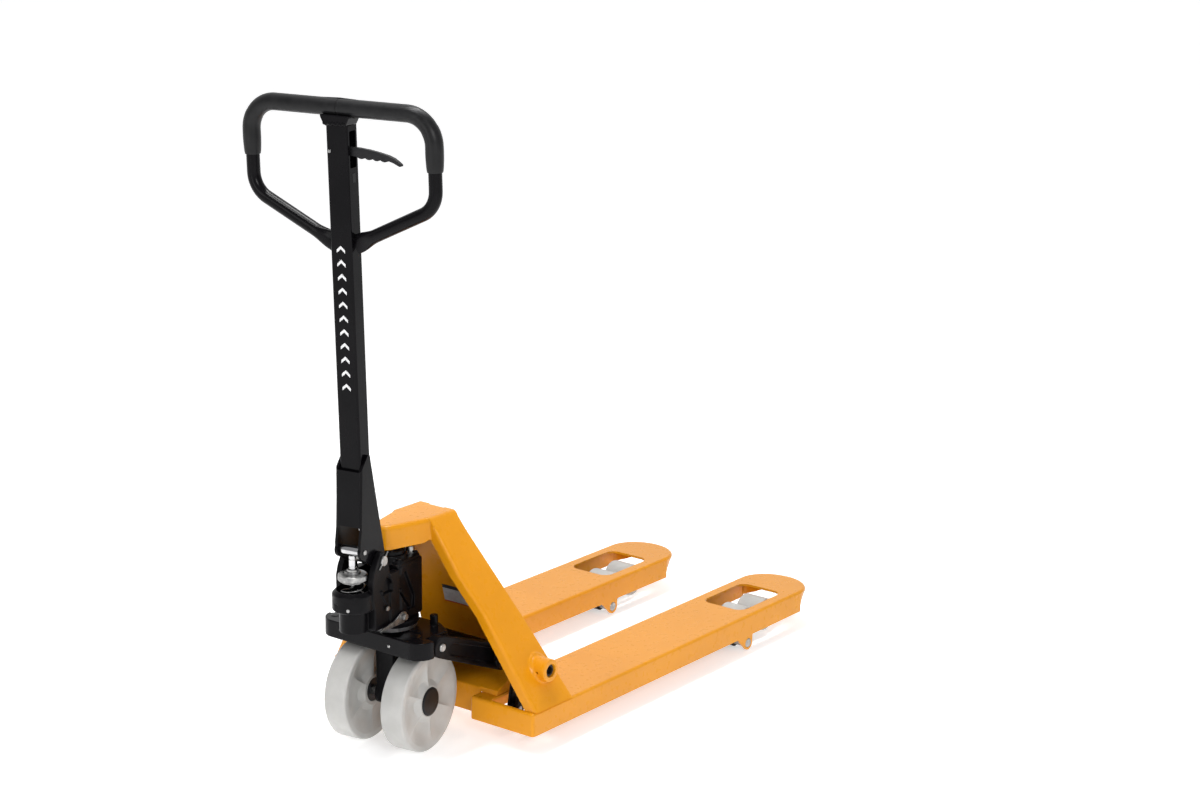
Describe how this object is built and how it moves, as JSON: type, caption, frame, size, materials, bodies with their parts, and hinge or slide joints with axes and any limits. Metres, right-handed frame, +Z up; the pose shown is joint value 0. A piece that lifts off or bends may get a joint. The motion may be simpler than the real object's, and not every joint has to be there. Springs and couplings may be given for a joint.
{
  "type": "pallet jack",
  "caption": "Hand pallet jack: two forks on load rollers, a steered hydraulic pump unit and a drawbar with a loop handle.",
  "frame": {"origin": "middle of the bounding box, at floor level", "axes": "+X towards the fork tips, +Y to the left fork, +Z up"},
  "size_m": [1.3043, 0.528, 1.2775],
  "materials": {
    "yellow_paint": "gloss powder coat",
    "black_paint": "gloss",
    "cast_black": "painted casting, satin",
    "rubber": "matte",
    "nylon": "off-white cast nylon",
    "cap_plastic": "moulded",
    "zinc": "zinc plated",
    "chrome": "polished",
    "steel": "ground",
    "bronze": "sintered"
  },
  "bodies": {
    "frame": {"fork_right": "yellow_paint", "fork_left": "yellow_paint", "leg_right": "yellow_paint", "leg_left": "yellow_paint", "hood": "yellow_paint", "back_panel": "yellow_paint", "panel_foot": "yellow_paint", "cross_member": "yellow_paint", "cross_shaft": "steel", "arm_pin_right": "zinc", "arm_pin_left": "zinc"},
    "rocker": {"rocker": "cast_black", "shaft_bush_right": "bronze", "shaft_bush_left": "bronze", "rod_pin_right": "zinc", "rod_pin_left": "zinc"},
    "bearing_plate": {"bearing_plate": "black_paint", "trunnion_pin_right": "zinc", "trunnion_pin_left": "zinc", "thrust_bearing": "steel"},
    "pump_unit": {"pump_body": "cast_black", "reservoir": "cast_black", "filler_plug": "zinc", "release_bolt": "zinc", "steering_yoke": "cast_black", "steer_axle": "steel", "drawbar_pin": "zinc"},
    "ram": {"ram": "chrome"},
    "plunger": {"plunger": "chrome", "spring_cap": "zinc", "plunger_spring": "zinc"},
    "release_lever": {"release_lever": "zinc"},
    "wheel_right": {"wheel_right": "nylon", "wheel_bearing_right": "steel", "wheel_cap_right": "cap_plastic"},
    "wheel_left": {"wheel_left": "nylon", "wheel_bearing_left": "steel", "wheel_cap_left": "cap_plastic"},
    "drawbar": {"drawbar_bracket": "black_paint", "roller_axle": "zinc", "drawbar_tube": "black_paint", "handle_saddle": "black_paint", "handle_loop": "black_paint", "grip_right": "rubber", "grip_left": "rubber", "lever_pin": "zinc"},
    "press_roller": {"press_roller": "chrome"},
    "control_lever": {"control_lever": "cap_plastic"},
    "pull_rod": {"pull_rod": "zinc"},
    "push_rod_right": {"push_rod_right": "black_paint"},
    "push_rod_left": {"push_rod_left": "black_paint"},
    "load_arm_right": {"load_arm_right": "black_paint"},
    "load_arm_left": {"load_arm_left": "black_paint"},
    "bogie_right": {"bogie_right": "zinc"},
    "bogie_left": {"bogie_left": "zinc"},
    "load_roller_rear_right": {"load_roller_rear_right": "nylon"},
    "load_roller_front_right": {"load_roller_front_right": "nylon"},
    "load_roller_rear_left": {"load_roller_rear_left": "nylon"},
    "load_roller_front_left": {"load_roller_front_left": "nylon"}
  },
  "joints": [
    {"name": "lift", "type": "hinge", "parent": "frame", "child": "rocker", "pos_m": [-0.28885, 0, 0.153], "axis": [0, -1, 0], "range_deg": [0, 32.85]},
    {"name": "plate_level", "type": "hinge", "parent": "rocker", "child": "bearing_plate", "pos_m": [-0.47035, 0, 0.225], "axis": [0, -1, 0], "range_deg": [-32.95, 0]},
    {"name": "steering", "type": "hinge", "parent": "bearing_plate", "child": "pump_unit", "pos_m": [-0.47035, 0, 0.225], "axis": [0, 0, 1], "range_deg": [-88.76, 71.24]},
    {"name": "ram_slide", "type": "slide", "parent": "pump_unit", "child": "ram", "axis": [0, 0, 1], "range_m": [0, 0.1101]},
    {"name": "wheel_right_spin", "type": "hinge", "parent": "pump_unit", "child": "wheel_right", "pos_m": [-0.46045, -0.06424, 0.1], "axis": [-0.1523, 0.9883, 0], "continuous": true},
    {"name": "wheel_left_spin", "type": "hinge", "parent": "pump_unit", "child": "wheel_left", "pos_m": [-0.48025, 0.06424, 0.1], "axis": [-0.1523, 0.9883, 0], "continuous": true},
    {"name": "drawbar_tilt", "type": "hinge", "parent": "pump_unit", "child": "drawbar", "pos_m": [-0.55337, -0.01279, 0.402], "axis": [0.1523, -0.9883, 0], "range_deg": [0, 65], "stiffness_Nm_per_rad": 12, "springref_deg": -34.38},
    {"name": "press_roller_spin", "type": "hinge", "parent": "drawbar", "child": "press_roller", "pos_m": [-0.59389, -0.01904, 0.4277], "axis": [-0.1523, 0.9883, 0], "continuous": true},
    {"name": "plunger_slide", "type": "slide", "parent": "pump_unit", "child": "plunger", "axis": [0, 0, -1], "range_m": [0, 0.0529], "deforming": ["plunger_spring"]},
    {"name": "control_lever_tilt", "type": "hinge", "parent": "drawbar", "child": "control_lever", "pos_m": [-0.60671, -0.00482, 1.184], "axis": [0.9883, 0.1523, 0], "range_deg": [-10, 10]},
    {"name": "pull_rod_slide", "type": "slide", "parent": "drawbar", "child": "pull_rod", "axis": [-0.0401, -0.0062, 0.9992], "range_m": [-0.003, 0.003]},
    {"name": "release_lever_tilt", "type": "hinge", "parent": "pump_unit", "child": "release_lever", "pos_m": [-0.49239, -0.05399, 0.276], "axis": [-0.1523, 0.9883, 0], "range_deg": [-4.1, 4.1]},
    {"name": "push_rod_right_level", "type": "hinge", "parent": "rocker", "child": "push_rod_right", "pos_m": [-0.31373, -0.184, 0.06859], "axis": [0, -1, 0], "range_deg": [-32.95, 0]},
    {"name": "load_arm_right_swing", "type": "hinge", "parent": "frame", "child": "load_arm_right", "pos_m": [0.37915, -0.184, 0.0215], "axis": [0, 1, 0], "range_deg": [0, 74.1]},
    {"name": "bogie_right_level", "type": "hinge", "parent": "load_arm_right", "child": "bogie_right", "pos_m": [0.48255, -0.184, 0.036], "axis": [0, 1, 0], "range_deg": [-74.1, 0]},
    {"name": "roller_rear_right_spin", "type": "hinge", "parent": "bogie_right", "child": "load_roller_rear_right", "pos_m": [0.44555, -0.184, 0.036], "axis": [0, 1, 0], "continuous": true},
    {"name": "roller_front_right_spin", "type": "hinge", "parent": "bogie_right", "child": "load_roller_front_right", "pos_m": [0.51955, -0.184, 0.036], "axis": [0, 1, 0], "continuous": true},
    {"name": "push_rod_left_level", "type": "hinge", "parent": "rocker", "child": "push_rod_left", "pos_m": [-0.31373, 0.184, 0.06859], "axis": [0, -1, 0], "range_deg": [-32.95, 0]},
    {"name": "load_arm_left_swing", "type": "hinge", "parent": "frame", "child": "load_arm_left", "pos_m": [0.37915, 0.184, 0.0215], "axis": [0, 1, 0], "range_deg": [0, 74.1]},
    {"name": "bogie_left_level", "type": "hinge", "parent": "load_arm_left", "child": "bogie_left", "pos_m": [0.48255, 0.184, 0.036], "axis": [0, 1, 0], "range_deg": [-74.1, 0]},
    {"name": "roller_rear_left_spin", "type": "hinge", "parent": "bogie_left", "child": "load_roller_rear_left", "pos_m": [0.44555, 0.184, 0.036], "axis": [0, 1, 0], "continuous": true},
    {"name": "roller_front_left_spin", "type": "hinge", "parent": "bogie_left", "child": "load_roller_front_left", "pos_m": [0.51955, 0.184, 0.036], "axis": [0, 1, 0], "continuous": true}
  ],
  "couplings": [
    {"joint": "plate_level", "follows": "lift", "ratio": -1},
    {"joint": "ram_slide", "follows": "lift", "m_per_rad": 0.19186},
    {"joint": "plunger_slide", "follows": "drawbar_tilt", "m_per_rad": 0.0465},
    {"joint": "pull_rod_slide", "follows": "control_lever_tilt", "m_per_rad": -0.016},
    {"joint": "release_lever_tilt", "follows": "control_lever_tilt", "ratio": -0.4},
    {"joint": "push_rod_right_level", "follows": "lift", "ratio": -1},
    {"joint": "load_arm_right_swing", "follows": "lift", "ratio": 2.2527},
    {"joint": "bogie_right_level", "follows": "lift", "ratio": -2.2527},
    {"joint": "push_rod_left_level", "follows": "lift", "ratio": -1},
    {"joint": "load_arm_left_swing", "follows": "lift", "ratio": 2.2527},
    {"joint": "bogie_left_level", "follows": "lift", "ratio": -2.2527}
  ]
}
